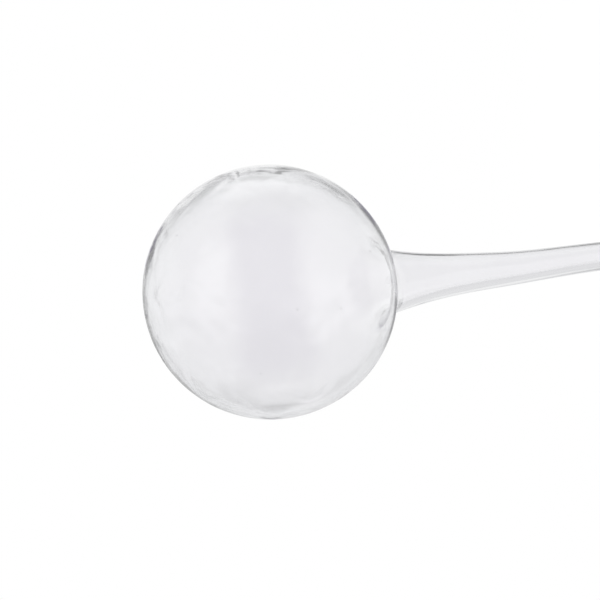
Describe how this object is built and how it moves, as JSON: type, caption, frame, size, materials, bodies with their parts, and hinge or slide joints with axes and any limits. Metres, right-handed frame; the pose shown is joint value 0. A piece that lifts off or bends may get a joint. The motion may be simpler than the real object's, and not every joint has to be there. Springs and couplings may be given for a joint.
{
  "type": "watering globe",
  "caption": "Clear blown-glass watering globe: a hollow round bulb on a long hollow stem that tapers to a slim open end and is pushed into potting soil.",
  "frame": {"origin": "on the stem's axis at the soil line, the top of the parallel shank", "axes": "+Z along the stem towards the bulb, as the globe stands in a pot; X and Y are free about that axis"},
  "size_m": [0.08, 0.08, 0.29],
  "materials": {
    "bulb_glass": "clear, fire polished",
    "stem_glass": "clear, fire polished"
  },
  "bodies": {
    "root": {"bulb": "bulb_glass", "stem": "stem_glass"}
  },
  "joints": []
}
